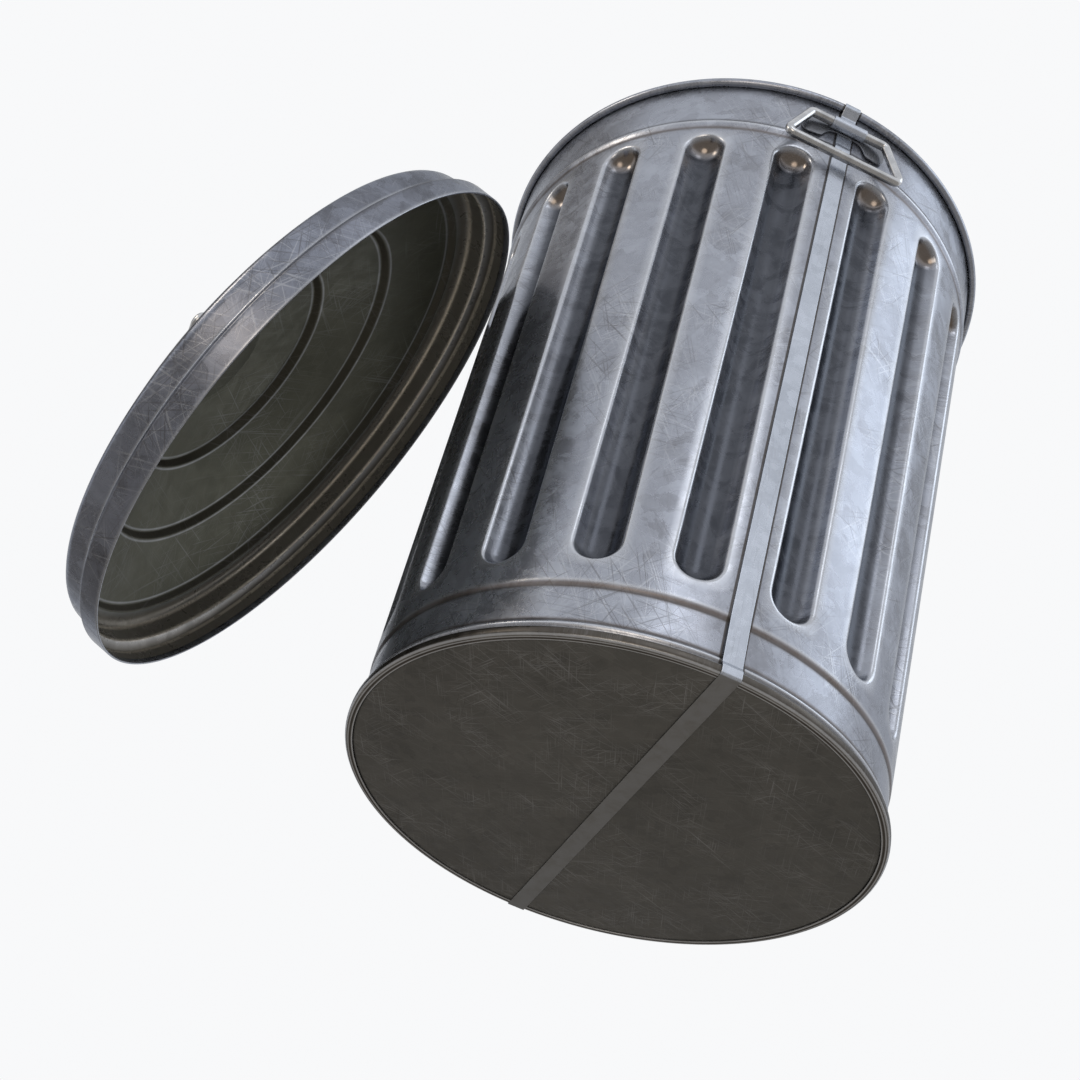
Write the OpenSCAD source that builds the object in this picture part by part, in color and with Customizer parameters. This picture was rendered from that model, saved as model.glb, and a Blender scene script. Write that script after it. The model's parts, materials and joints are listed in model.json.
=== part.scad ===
/* [Can] */
// Height of the can over its rolled rim
can_h = 690; // [560:1:820]
// Diameter over the foot hoop
base_d = 448; // [400:1:470]
// Diameter over the rolled rim
rim_d = 519; // [490:1:560]
// Thickness of the galvanised sheet
sheet_t = 0.8; // [0.6:0.1:1.2]
// Diameter of the rolled rim's section
roll_d = 8.5; // [7:0.5:10]
/* [Wall bands] */
// Height of the step above the plain foot band
foot_step_z = 50; // [40:1:60]
// How far the wall steps in to the foot band
foot_step_t = 1.5; // [1:0.25:3]
// Height that the foot step takes
foot_step_h = 5; // [4:0.5:8]
// Height of the foot bead's middle
foot_bead_z = 14; // [13:0.5:20]
// Height of the foot bead's section
foot_bead_w = 7; // [5:0.5:8]
// How far the foot bead stands out
foot_bead_t = 2.2; // [1:0.1:3]
// Distance from the can's top down to the rim bead's lower edge
rim_bead_drop = 73; // [50:1:78]
// Height of the rim bead's section
rim_bead_w = 11; // [8:0.5:14]
// How far the rim bead's crest stands out
rim_bead_t = 2.4; // [1.5:0.1:3]
// How far the plain rim band above the bead stands out
rim_band_t = 1.3; // [0.5:0.1:2]
/* [Flutes] */
// Number of flutes round the can
flute_count = 18; // [12:2:20]
// Height of the flutes' lower tips
flute_low_z = 77; // [65:1:120]
// Distance from the can's top down to the flutes' upper tips
flute_high_drop = 85; // [82:1:270]
// Width of a flute at the wall
flute_w = 37; // [24:1:38]
// Depth of a flute below the wall
flute_depth = 16.8; // [12:0.2:17]
/* [Foot] */
// Radial width of the foot hoop
hoop_t = 4.5; // [4:0.25:6]
// Height of the foot hoop
hoop_h = 9; // [8:0.25:9.5]
// How far the hoop's lip reaches in past the wall
hoop_lip = 1.6; // [1:0.1:2]
// Thickness of the hoop's lip
hoop_lip_t = 1.4; // [1:0.1:1.6]
// Rounding of the hoop's outer edges
hoop_round = 3; // [2.8:0.1:3.5]
// Height of the bottom pan's flange
pan_flange_h = 15; // [10:1:25]
// Rounding between the pan's disc and flange
pan_round = 4; // [4:0.5:6]
/* [Strap] */
// Width of the lifting strap
strap_w = 16; // [12:1:24]
// Thickness of the lifting strap
strap_t = 1.2; // [1:0.1:1.6]
// How far the strap stands out below the foot hoop
strap_proud = 0.6; // [0.4:0.1:0.8]
// Rounding of the strap where it turns under the can
strap_bend = 2; // [1.8:0.1:2.2]
/* [Ear plates and bails] */
// Length of an ear plate
ear_plate_l = 90; // [80:1:110]
// Height of an ear plate's wings
ear_h = 38; // [30:1:42]
// Height of an ear plate's waist
ear_waist_h = 12; // [8:1:16]
// Thickness of an ear plate
ear_t = 1.5; // [1.2:0.1:2]
// Width of the curl that holds the bail
curl_w = 35; // [24:1:44]
// Width of the slit between the curl's end and the plate
curl_gap = 1.5; // [1:0.25:2]
// Diameter of the bail's rod
rod_d = 9; // [7:0.5:10]
// Radius of the rod's middle line round a bend
rod_bend = 5.5; // [5.5:0.25:8]
// Length of the bail's pivot bar between rod centres
pivot_l = 80; // [72:1:90]
// Length of the bail's grip bar between rod centres
grip_l = 122; // [100:1:130]
// Distance from the bail's pivot bar to its grip bar
bail_h = 49; // [36:1:52]
// Distance from the can's top down to the side bails' pivot
pivot_drop = 39; // [30:1:40]
/* [Lid] */
// Radial clearance between the lid's lower skirt and the rim
lid_fit = 1.7; // [1.5:0.1:4]
// Height of the lower skirt, from the lip to its step
lower_skirt_h = 19; // [15:1:26]
// Height of the step between the skirts
skirt_step_h = 5; // [4:0.5:8]
// How far the upper skirt steps in
skirt_step_t = 7; // [6:0.5:9]
// Height of the lid's shoulder above the lip
shoulder_z = 47; // [44:1:60]
// Rounding of the shoulder
shoulder_round = 8; // [4:0.5:10]
// Width of the folded hem at the lip
hem_h = 6; // [4:0.5:10]
// Diameter of the outermost ring step
ring_3_d = 478; // [460:2:484]
// Diameter of the middle ring step
ring_2_d = 352; // [300:2:380]
// Diameter of the innermost ring step
ring_1_d = 228; // [190:2:260]
// Diameter of the flat seat in the middle of the crown
crown_d = 100; // [94:1:130]
// Rise of each ring step
ring_step_h = 6; // [4:0.5:9]
// Radial width of each ring step
ring_step_w = 3; // [2:0.5:5]
// Rise of each cone between two ring steps
cone_rise = 23; // [14:1:32]
// Rise of the cone up to the flat seat
crown_rise = 10; // [8:1:24]
// Turn of the lid's handle about the lid's axis
handle_turn = 12; // [0:1:90]
/* [Lid leaning on the can] */
// Angle of the lid from upright
lid_lean = 21.8; // [15:0.1:35]
// Turn of the lid about the vertical
lid_turn = 2.1; // [0:0.1:6]
// How far the lid's centre lies to the side of the can's
lid_side = 8.5; // [0:0.5:20]
// Gap between the lid's lip and the can's wall
lean_gap = 0.3; // [0.3:0.1:2]
/* [Hidden] */
$fn = 96;
// Gap between pieces that are pressed or folded together
seat_gap = 0.1;
// Radial clearance of a bail in its curl
pivot_fit = 0.08;
// Overrun of every cut
cut_over = 2;
// Steps of the small arcs in the profiles, in degrees
arc_step = 12;
// Angle at which the rim's roll ends, under its wire
roll_end = -120;
roll_r = roll_d / 2;
roll_z = can_h - roll_r;
rim_r = rim_d / 2;
base_r = base_d / 2;
// Heights that go with the can's top
rim_bead_z = can_h - rim_bead_drop;
flute_high_z = can_h - flute_high_drop;
pivot_z = can_h - pivot_drop;
half_t = sheet_t / 2;
hoop_z = strap_proud;
// Lowest edge of the wall, on the hoop's lip
wall_z = hoop_z + hoop_lip_t + seat_gap;
// Outer radius of the plain foot band, and of the fluted wall's line at its two ends
foot_r = base_r - hoop_t - seat_gap;
fluted_z = foot_step_z + foot_step_h;
wall_low_r = foot_r + foot_step_t;
wall_high_r = rim_r - roll_d + sheet_t - rim_band_t;
wall_slope = (wall_high_r - wall_low_r) / (roll_z - fluted_z);
wall_lean = atan(wall_slope);
// Underside of the pan's disc
pan_z = strap_t + seat_gap;
// Where the strap leaves the wall below the roll, as a share of the roll's diameter
under_share = 1.1;
flute_r = flute_w / 2;
flute_out = flute_r - flute_depth;
flute_pitch = 360 / flute_count;
// Heights of the rim bead's crest, of its flat top and of the band above it
crest_share = 0.7;
crest_z = rim_bead_z + rim_bead_w * crest_share;
crest_h = rim_bead_w * (1 - crest_share) / 2;
band_z = rim_bead_z + rim_bead_w;
bore_r = rod_d / 2 + pivot_fit;
curl_r = bore_r + ear_t;
// Thickness of a bail's rod round its bends, as a share of its diameter
bend_share = 0.99;
// Angle by which each bend runs on into the straight rods, in degrees
bend_over = 3;
// Places of an outline's corners, as shares of the ear plate's half length and half height
wing_in_share = 0.52;
waist_share = 0.36;
wing_round_share = 0.3;
// The lid's radii, from the rim that it closes over
skirt_r = rim_r + lid_fit + half_t;
upper_skirt_r = skirt_r - skirt_step_t;
lip_r = skirt_r + half_t + sheet_t + seat_gap;
crown_z = shoulder_z + 3 * ring_step_h + 2 * cone_rise + crown_rise;
lip_pivot_z = lip_r * cos(lid_lean);
// Height of the lip's highest point, and the wall that it leans on there
touch_z = 2 * lip_pivot_z;
touch_r = wall_r(touch_z) + lean_gap;
lid_back = sqrt(touch_r * touch_r - lid_side * lid_side) + lip_r * sin(lid_lean);

function wall_r(z) = wall_low_r + wall_slope * (z - fluted_z);
function band_r(z) = wall_r(z) + rim_band_t;
function side(v) = [-v[1], v[0]] / norm(v);
// Offset direction at point i of path p, lengthened so that the sheet keeps its thickness round a bend
function mitre(p, i) =
    let (last = len(p) - 1)
    let (a = side(p[i == 0 ? 1 : i] - p[i == 0 ? 0 : i - 1]))
    let (b = side(p[i == last ? last : i + 1] - p[i == last ? last - 1 : i]))
    (a + b) / (1 + a * b);
// Path p moved sideways by t
function side_of(p, t) = [for (i = [0:len(p) - 1]) p[i] + mitre(p, i) * t];
// Closed outline of a sheet of thickness t whose middle follows path p
function sheet(p, t) =
    let (back = side_of(p, -t / 2))
    concat(side_of(p, t / 2), [for (i = [len(p) - 1:-1:0]) back[i]]);
function arc(centre, r, from, to) =
    let (n = ceil(abs(to - from) / arc_step))
    [for (i = [0:n]) centre + r * [cos(from + (to - from) * i / n), sin(from + (to - from) * i / n)]];
function mirrored(p) = [for (i = [len(p) - 1:-1:0]) [-p[i][0], p[i][1]]];

// Middle of the can's wall, from the foot to the end of the rim's roll
function wall_path() = concat(
    [[foot_r - half_t, wall_z]],
    [
        for (a = [0:2 * arc_step:180])
            [foot_r - half_t + foot_bead_t * sin(a), foot_bead_z - foot_bead_w / 2 * cos(a)]
    ],
    [
        [foot_r - half_t, foot_step_z],
        [wall_low_r - half_t, fluted_z],
        [wall_r(rim_bead_z) - half_t, rim_bead_z],
        [wall_r(crest_z - crest_h / 2) + rim_bead_t - half_t, crest_z - crest_h / 2],
        [wall_r(crest_z + crest_h / 2) + rim_bead_t - half_t, crest_z + crest_h / 2],
        [band_r(band_z) - half_t, band_z]
    ],
    roll_path()
);
function roll_path() = arc([rim_r - roll_r, roll_z], roll_r - half_t, 180, roll_end);
function roll_start() = len(wall_path()) - len(roll_path());

// Rod with round ends along the middle of one flute
module flute_rod(r) {
    low_z = flute_low_z + flute_r;
    high_z = flute_high_z - flute_r;
    rod_l = (high_z - low_z) / cos(wall_lean);
    translate([wall_r(low_z) + flute_out, 0, low_z])
        rotate([0, wall_lean, 0])
            rotate_extrude()
                intersection() {
                    union() {
                        circle(r = r);
                        square([r, rod_l]);
                        translate([0, rod_l])
                            circle(r = r);
                    }
                    translate([0, -2 * r])
                        square([2 * r, rod_l + 4 * r]);
                }
}

// Takes flutes of radius r out of what follows, one after another
module fluted(r, left = flute_count) {
    if (left == 0)
        children();
    else
        difference() {
            fluted(r, left - 1)
                children();
            rotate(flute_pitch * (left - 1 / 2))
                flute_rod(r);
        }
}

// Can filled up to the start of its roll, with the flutes cut into it
module filled_can() {
    outside = side_of(wall_path(), -half_t);
    inside = side_of(wall_path(), half_t);
    top = roll_start();
    fluted(flute_r)
        rotate_extrude()
            polygon(concat(
                [[0, wall_z]],
                outside,
                [for (i = [len(inside) - 1:-1:top]) inside[i]],
                [[0, inside[top][1]]]
            ));
}

// Room inside the can, with the backs of the flutes left standing in it
module room() {
    inside = side_of(wall_path(), half_t);
    top = roll_start();
    floor_z = wall_z - cut_over;
    fluted(flute_r + sheet_t)
        rotate_extrude()
            polygon(concat(
                [[0, floor_z], [inside[0][0], floor_z]],
                [for (i = [0:top]) inside[i]],
                [[0, inside[top][1]]]
            ));
}

module can_body() {
    color("lightsteelblue")
        difference() {
            filled_can();
            room();
        }
}

module rim_wire() {
    color("gray")
        translate([0, 0, roll_z])
            rotate_extrude()
                translate([rim_r - roll_r, 0])
                    circle(r = roll_r - sheet_t - seat_gap / 2);
}

// Disc with an upright flange that lies inside the wall's foot
module bottom_pan() {
    flange_z = pan_z + pan_flange_h;
    flange_in = sheet_t + seat_gap + half_t;
    corner_r = foot_r - flange_in - pan_round;
    path = concat(
        [[0, pan_z + half_t]],
        arc([corner_r, pan_z + half_t + pan_round], pan_round, -90, 0),
        [[foot_r - flange_in, flange_z]]
    );
    color("dimgray")
        rotate_extrude()
            polygon(sheet(path, sheet_t));
}

// Half-round hoop round the wall's foot, with a lip under the wall's edge
module foot_hoop() {
    top_z = hoop_z + hoop_h;
    round_r = base_r - hoop_round;
    lip_in_r = foot_r - sheet_t - hoop_lip;
    lip_top_z = hoop_z + hoop_lip_t;
    outline = concat(
        [[lip_in_r, hoop_z]],
        arc([round_r, hoop_z + hoop_round], hoop_round, -90, 0),
        arc([round_r, top_z - hoop_round], hoop_round, 0, 90),
        [
            [foot_r + seat_gap, top_z],
            [foot_r + seat_gap, lip_top_z],
            [lip_in_r, lip_top_z]
        ]
    );
    color("darkgray")
        difference() {
            rotate_extrude()
                polygon(outline);
            translate([-base_d, -(strap_w / 2 + seat_gap), -cut_over])
                cube([2 * base_d, strap_w + 2 * seat_gap, strap_t + seat_gap + cut_over]);
        }
}

// Middle of the strap's half on +X, from the floor up to its end on the roll
function strap_path() =
    let (lift = seat_gap + strap_t / 2)
    let (hoop_out = base_r + lift)
    let (bead_out = foot_r + foot_bead_t + lift)
    let (crest_out = rim_bead_t + lift)
    let (under_z = roll_z - roll_d * under_share)
    concat(
        arc([hoop_out - strap_bend, strap_t / 2 + strap_bend], strap_bend, -90, 0),
        [
            [hoop_out, hoop_z + hoop_h - hoop_round / 2],
            [bead_out, foot_bead_z - foot_bead_w / 4],
            [bead_out, foot_bead_z + foot_bead_w / 4],
            [wall_low_r + lift, fluted_z],
            [wall_r(rim_bead_z - crest_h) + lift, rim_bead_z - crest_h],
            [wall_r(crest_z - crest_h) + crest_out, crest_z - crest_h],
            [wall_r(crest_z + crest_h) + crest_out, crest_z + crest_h],
            [band_r(band_z + 2 * crest_h) + lift, band_z + 2 * crest_h],
            [band_r(under_z) + lift, under_z]
        ],
        arc([rim_r - roll_r, roll_z], roll_r + lift, -50, 45)
    );

module strap() {
    half = strap_path();
    color("silver")
        rotate([90, 0, 0])
            linear_extrude(height = strap_w, center = true)
                polygon(sheet(concat(mirrored(half), half), strap_t));
}

// Outline of an ear plate: two wings joined by a narrow waist
module ear_outline() {
    half_l = ear_plate_l / 2;
    half_h = ear_h / 2;
    round_r = half_h * wing_round_share;
    waist = ear_waist_h / 2;
    quarter = concat(
        [[half_l * waist_share, waist], [half_l * wing_in_share, half_h]],
        arc([half_l - round_r, half_h - round_r], round_r, 90, 0)
    );
    right = concat([for (p = quarter) p], [for (i = [len(quarter) - 1:-1:0]) [quarter[i][0], -quarter[i][1]]]);
    left = [for (p = right) -p];
    polygon(concat(right, left));
}

// Sleeve along X round the pivot bar, open along a slit below the bar, next to the plate
module curl() {
    difference() {
        rotate([0, 90, 0])
            cylinder(h = curl_w, r = curl_r, center = true);
        rotate([0, 90, 0])
            cylinder(h = curl_w + 2 * cut_over, r = bore_r, center = true);
        translate([-curl_w, -bore_r / 2 - curl_gap, -curl_r - cut_over])
            cube([2 * curl_w, curl_gap, curl_r + cut_over]);
    }
}

// Angle by which a path turns at b
function turn(a, b, c) = acos((b - a) * (c - b) / (norm(b - a) * norm(c - b)));

// Bail in the XY plane: pivot bar on the X axis, grip bar towards -Y
module bail() {
    corners = [[pivot_l / 2, 0], [-pivot_l / 2, 0], [-grip_l / 2, -bail_h], [grip_l / 2, -bail_h]];
    for (i = [0:3])
        rod_and_bend(corners[(i + 3) % 4], corners[i], corners[(i + 1) % 4], corners[(i + 2) % 4]);
}

// Rod from corner b to corner c and the bend at c; a comes before them, and d after
module rod_and_bend(a, b, c, d) {
    run_l = norm(c - b);
    start_l = rod_bend * tan(turn(a, b, c) / 2);
    end_l = rod_bend * tan(turn(b, c, d) / 2);
    translate([b[0], b[1], 0])
        rotate(atan2(c[1] - b[1], c[0] - b[0])) {
            translate([start_l, 0, 0])
                rotate([0, 90, 0])
                    cylinder(h = run_l - start_l - end_l, d = rod_d);
            translate([run_l - end_l, rod_bend, 0])
                rotate(-90 - bend_over)
                    rotate_extrude(angle = turn(b, c, d) + 2 * bend_over)
                        translate([rod_bend, 0])
                            circle(d = rod_d * bend_share);
        }
}

// Radius of a side bail's pivot: the plate lies on the strap, and the curl on the plate
plate_in_r = band_r(pivot_z) + strap_t + 2 * seat_gap;
pivot_x = plate_in_r + ear_t + seat_gap + bore_r;

// Puts a bail or curl made in its own XY plane upright on the can's +X side
module at_side() {
    translate([pivot_x, 0, pivot_z])
        rotate([90, 0, 90])
            children();
}

module side_ear() {
    low_z = pivot_z - ear_h;
    high_z = pivot_z + ear_h;
    lift = strap_t + 2 * seat_gap;
    difference() {
        union() {
            intersection() {
                rotate_extrude()
                    polygon([
                        [band_r(low_z) + lift, low_z],
                        [band_r(low_z) + lift + ear_t, low_z],
                        [band_r(high_z) + lift + ear_t, high_z],
                        [band_r(high_z) + lift, high_z]
                    ]);
                translate([0, 0, pivot_z])
                    rotate([90, 0, 90])
                        linear_extrude(height = rim_d)
                            ear_outline();
            }
            at_side()
                curl();
        }
        at_side()
            rotate([0, 90, 0])
                cylinder(h = curl_w + 2 * cut_over, r = bore_r, center = true);
    }
}

module ear_plate_front() {
    color("silver")
        side_ear();
}

module ear_plate_back() {
    color("silver")
        rotate(180)
            side_ear();
}

module bail_front() {
    color("whitesmoke")
        at_side()
            bail();
}

module bail_back() {
    color("whitesmoke")
        rotate(180)
            at_side()
                bail();
}

// Puts what is made on the closed lid's axis, with its lip at z = 0, where the lid leans
module leaning() {
    translate([-lid_side, -lid_back, lip_pivot_z])
        rotate([0, 0, -lid_turn])
            rotate([90 - lid_lean, 0, 0])
                children();
}

// Middle of one ring step, from its top to its foot
function ring_path(r, z) = [[r - ring_step_w, z + ring_step_h], [r, z]];
function lid_path() = concat(
    [
        [0, crown_z],
        [crown_d / 2, crown_z]
    ],
    ring_path(ring_1_d / 2, shoulder_z + 2 * (ring_step_h + cone_rise)),
    ring_path(ring_2_d / 2, shoulder_z + ring_step_h + cone_rise),
    ring_path(ring_3_d / 2, shoulder_z),
    arc([upper_skirt_r - shoulder_round, shoulder_z - shoulder_round], shoulder_round, 90, 0),
    [
        [upper_skirt_r, lower_skirt_h + skirt_step_h],
        [skirt_r, lower_skirt_h],
        [skirt_r, 0]
    ]
);

module lid_shell() {
    color("slategray")
        leaning() {
            rotate_extrude()
                polygon(sheet(lid_path(), sheet_t));
            rotate_extrude()
                translate([skirt_r, 0])
                    square([lip_r - skirt_r, hem_h]);
        }
}

// Height of the lid bail's pivot above the lip
crown_top_z = crown_z + half_t + seat_gap;
lid_pivot_z = crown_top_z + ear_t + seat_gap + bore_r;

module lid_ear_plate() {
    color("silver")
        leaning() rotate(handle_turn)
            difference() {
                union() {
                    translate([0, 0, crown_top_z])
                        linear_extrude(height = ear_t)
                            ear_outline();
                    translate([0, 0, lid_pivot_z])
                        curl();
                }
                translate([0, 0, lid_pivot_z])
                    rotate([0, 90, 0])
                        cylinder(h = curl_w + 2 * cut_over, r = bore_r, center = true);
            }
}

module lid_bail() {
    color("whitesmoke")
        leaning() rotate(handle_turn)
            translate([0, 0, lid_pivot_z])
                bail();
}

can_body();
rim_wire();
bottom_pan();
foot_hoop();
strap();
ear_plate_front();
ear_plate_back();
bail_front();
bail_back();
lid_shell();
lid_ear_plate();
lid_bail();
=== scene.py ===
import json
import math

import bmesh
import bpy
from mathutils import Matrix, Vector

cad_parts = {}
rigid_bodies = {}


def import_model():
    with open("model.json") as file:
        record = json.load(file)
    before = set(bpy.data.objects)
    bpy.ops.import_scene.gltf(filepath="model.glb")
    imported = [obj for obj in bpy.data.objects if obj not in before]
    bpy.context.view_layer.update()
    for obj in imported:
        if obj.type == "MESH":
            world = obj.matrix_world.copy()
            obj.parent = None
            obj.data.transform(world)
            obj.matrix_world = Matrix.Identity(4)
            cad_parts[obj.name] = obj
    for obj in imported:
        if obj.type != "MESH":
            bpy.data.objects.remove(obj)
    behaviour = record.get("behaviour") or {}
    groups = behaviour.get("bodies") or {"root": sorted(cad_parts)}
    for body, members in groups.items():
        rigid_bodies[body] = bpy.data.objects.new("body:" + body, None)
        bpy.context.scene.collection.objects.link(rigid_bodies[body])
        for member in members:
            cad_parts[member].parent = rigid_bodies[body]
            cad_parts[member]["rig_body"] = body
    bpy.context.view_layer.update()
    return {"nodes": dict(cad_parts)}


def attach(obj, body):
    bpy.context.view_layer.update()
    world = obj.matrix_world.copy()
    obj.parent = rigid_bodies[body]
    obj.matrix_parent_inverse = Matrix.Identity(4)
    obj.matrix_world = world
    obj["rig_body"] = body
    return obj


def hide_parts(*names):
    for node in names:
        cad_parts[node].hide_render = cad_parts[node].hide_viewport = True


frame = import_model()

bl_info = {
    "name": "Galvanised trash can",
    "version": (1, 0, 0),
    "blender": (4, 5, 0),
    "location": "3D View > Sidebar > Trash can",
    "description": "Builds a fluted, galvanised trash can and the lid that leans on it, round a packed frame",
    "category": "Object",
}

FULL_TURN = 2 * math.pi
# Corners of a mesh nearer than this are one corner
MERGE = 1e-6
# A rounded corner turns at most this much from one face to the next
CORNER_STEP = math.radians(15)
PLATE_CORNER_STEP = math.radians(10)
LID_CORNER_STEP = math.radians(20)
# Edges of a plate that turn more than this are rounded
SHARP = math.radians(50)
# Columns of faces round the smaller spun pieces
ROUND_COLUMNS = 240
# Distances of the extra rows of faces beside a bend, and the shortest run that gets them at both ends
BESIDE = (0.0015, 0.003, 0.006)
LONG_RUN = 2.2 * BESIDE[-1]

# Columns of faces across one flute and the plain strips beside it, and how they are shared out
BOWL_STEPS = 7
FILLET_STEPS = 4
LAND_STEPS = 3
FLUTE_STEPS = 2 * (BOWL_STEPS + FILLET_STEPS + LAND_STEPS)
# Rows of faces up each stretch of the wall
FOOT_BEAD_ROWS = 8
FOOT_STEP_ROWS = 4
BELOW_FLUTES_ROWS = 3
FLUTE_ROWS = 6
BEAD_RISE_ROWS = 6
BEAD_FALL_ROWS = 4
# Heights of single rows in the wall's plain bands
FOOT_EDGE_ROW = 0.006
FOOT_BAND_ROW = 0.034
RIM_BAND_ROWS = (0.648, 0.670)
# The rolled rim's section
ROLL_ROWS = 20
ROLL_TURN = math.radians(300)

# Rounding of the foot hoop's lip
HOOP_LIP_ROUND = 0.0003
# Where the strap bends: below the hoop's top, beside the middles of the beads, above the rim bead, and
# below the rolled rim's middle in radii of the roll
HOOP_EDGE = 0.0015
FOOT_BEAD_FLAT = 0.00175
RIM_BEAD_FLAT = 0.0017
RIM_BAND_EDGE = 0.0033
UNDER_ROLL = 2.2
# Turns round the rolled rim's section where the strap's hook bends
HOOK_TURNS = [math.radians(turn) for turn in (-50, *range(-45, 46, 10))]

# Columns round a bail's rod, and rows of faces round each of its bends
ROD_SIDES = 28
BEND_ROWS = 8
# Strips that an ear plate is cut into
PLATE_CUTS = 36
# How far the middle of a wing's end stands out past its corners
WING_BULGE = 0.0015
# Where the curl starts and ends round the pivot bar, and its rows of faces
CURL_TURNS = (math.radians(205), math.radians(-138))
CURL_STEPS = 40

# Patterns in a metre of zinc, from wide to narrow
CLOUDS = 5
FINE_PATCHES = 11
PATCHES = 16
BLOTCHES = 48
CRYSTALS = 62
DRIFTS = 75
# Heights of the zinc's bumps, and its colour seen from a low angle
CLOUD_BUMP = 0.0008
BLOTCH_BUMP = 0.00008
LINE_BUMP = 0.000012
ZINC_EDGE = (0.55, 0.57, 0.60)
# Turn, width, run and shift of each set of scratched hairlines
HAIRLINES = (
    (0.45, 0.0013, 0.090, 0.31), (-0.62, 0.0011, 0.070, 1.73), (1.20, 0.0012, 0.080, 4.11),
    (-1.15, 0.0011, 0.060, 6.37), (0.08, 0.0011, 0.070, 8.9),
)

# Radii of the floor's rings of faces within its edge, and the columns round them
FLOOR_RINGS = (0.6, 2.0, 8.0)
FLOOR_COLUMNS = 128
# Shade of the darkest grain in the floor
FLOOR_SHADE = 0.985
# Name, place, aim, width, watts and colour of each lamp
LAMPS = (
    ("Cool lamp", (0.9, 1.7, 1.9), (0, 0, 0.4), 1.4, 9, (0.86, 0.93, 1.0)),
    ("Front lamp", (2.3, -0.2, 1.6), (0, 0, 0.4), 0.9, 4, (0.95, 0.97, 1.0)),
    ("Warm lamp", (0.6, -2.0, 0.9), (0, -0.2, 0.3), 0.5, 5, (1.0, 0.86, 0.68)),
)
# The room's colour, and the way to each patch in it, the cosines where the patch starts and is full,
# and its colour
ROOM = (0.94, 0.945, 0.955)
ROOM_PATCHES = (
    ((-0.307, -0.760, 0.574), 0.86, 0.97, (0.32, 0.295, 0.27)),
    ((0, 0, -1), -0.02, 0.16, (0.37, 0.345, 0.315)),
    ((0.86, -0.38, -0.33), 0.955, 0.99, (3.2, 2.8, 2.35)),
)


def length(name, default, description):
    return bpy.props.FloatProperty(
        name=name, description=description, default=default, unit="LENGTH", precision=4
    )


def angle(name, default, description):
    return bpy.props.FloatProperty(
        name=name, description=description, default=math.radians(default), unit="ROTATION"
    )


def tint(name, default, description):
    return bpy.props.FloatVectorProperty(
        name=name, description=description, default=default, size=3, min=0, max=1, subtype="COLOR"
    )


def place(name, default, description):
    return bpy.props.FloatVectorProperty(
        name=name, description=description, default=default, size=3, subtype="TRANSLATION"
    )


def heading(name, default, description):
    return bpy.props.FloatVectorProperty(
        name=name, description=description, default=default, size=3, subtype="DIRECTION"
    )


class CanSizes(bpy.types.PropertyGroup):
    """Sizes of the can, in the frame's metres"""

    rim_radius: length("Rim radius", 0.2595, "Radius over the rolled rim")
    roll_radius: length("Roll radius", 0.00425, "Radius of the rolled rim's section")
    roll_z: length("Roll height", 0.68575, "Height of the roll's middle")
    sheet: length("Sheet", 0.0008, "Thickness of the galvanised sheet")
    wall_z: length("Wall foot", 0.0021, "Height of the wall's lowest edge")
    foot_radius: length("Foot band radius", 0.2194, "Outer radius of the plain foot band")
    foot_bead: length("Foot bead", 0.0022, "How far the foot bead stands out")
    foot_bead_low: length("Foot bead low", 0.0098, "Lower edge of the foot bead")
    foot_bead_high: length("Foot bead high", 0.0182, "Upper edge of the foot bead")
    step: length("Foot step", 0.0015, "How far the fluted wall stands out from the foot band")
    step_low: length("Foot step low", 0.050, "Lower edge of the step above the foot band")
    step_high: length("Foot step high", 0.055, "Upper edge of the step above the foot band")
    bead_low: length("Rim bead low", 0.617, "Lower edge of the rim bead")
    bead_crest_z: length("Rim bead crest", 0.6247, "Height of the rim bead's crest")
    bead_high: length("Rim bead high", 0.628, "Upper edge of the rim bead")
    bead: length("Rim bead", 0.0024, "How far the rim bead's crest stands out")
    band: length("Rim band", 0.0013, "How far the rim band stands out")
    flutes: bpy.props.IntProperty(name="Flutes", description="Number of flutes round the can", default=18)
    flute_radius: length("Flute radius", 0.0185, "Radius of a flute's section")
    flute_out: length("Flute axis", 0.0017, "How far a flute's axis lies outside the wall")
    flute_low: length("Flute low", 0.0955, "Height of the middle of a flute's lower end")
    flute_high: length("Flute high", 0.5865, "Height of the middle of a flute's upper end")
    flute_fillet: length("Flute fillet", 0.0045, "Rounding between a flute and the wall")
    flute_blend: length("Flute blend", 0.008, "Width over which rows bend back from a flute's round end")
    pan_z: length("Pan height", 0.0013, "Underside of the bottom pan's disc")
    pan_radius: length("Pan radius", 0.2185, "Outer radius of the bottom pan's flange")
    pan_flange_z: length("Pan flange", 0.0163, "Top of the bottom pan's flange")
    pan_round: length("Pan rounding", 0.0044, "Rounding between the pan's disc and flange")
    hoop_radius: length("Hoop radius", 0.224, "Radius over the foot hoop")
    hoop_z: length("Hoop height", 0.0006, "Underside of the foot hoop")
    hoop_top: length("Hoop top", 0.0096, "Top of the foot hoop")
    hoop_round: length("Hoop rounding", 0.0032, "Rounding of the foot hoop's outer edges")
    hoop_lip_radius: length("Hoop lip radius", 0.217, "Inner radius of the hoop's lip")
    hoop_lip_top: length("Hoop lip top", 0.002, "Top of the hoop's lip")
    strap_width: length("Strap width", 0.016, "Width of the lifting strap")
    strap: length("Strap", 0.0012, "Thickness of the lifting strap")
    strap_gap: length("Strap gap", 0.0001, "Gap between the strap and what it lies on")


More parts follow.
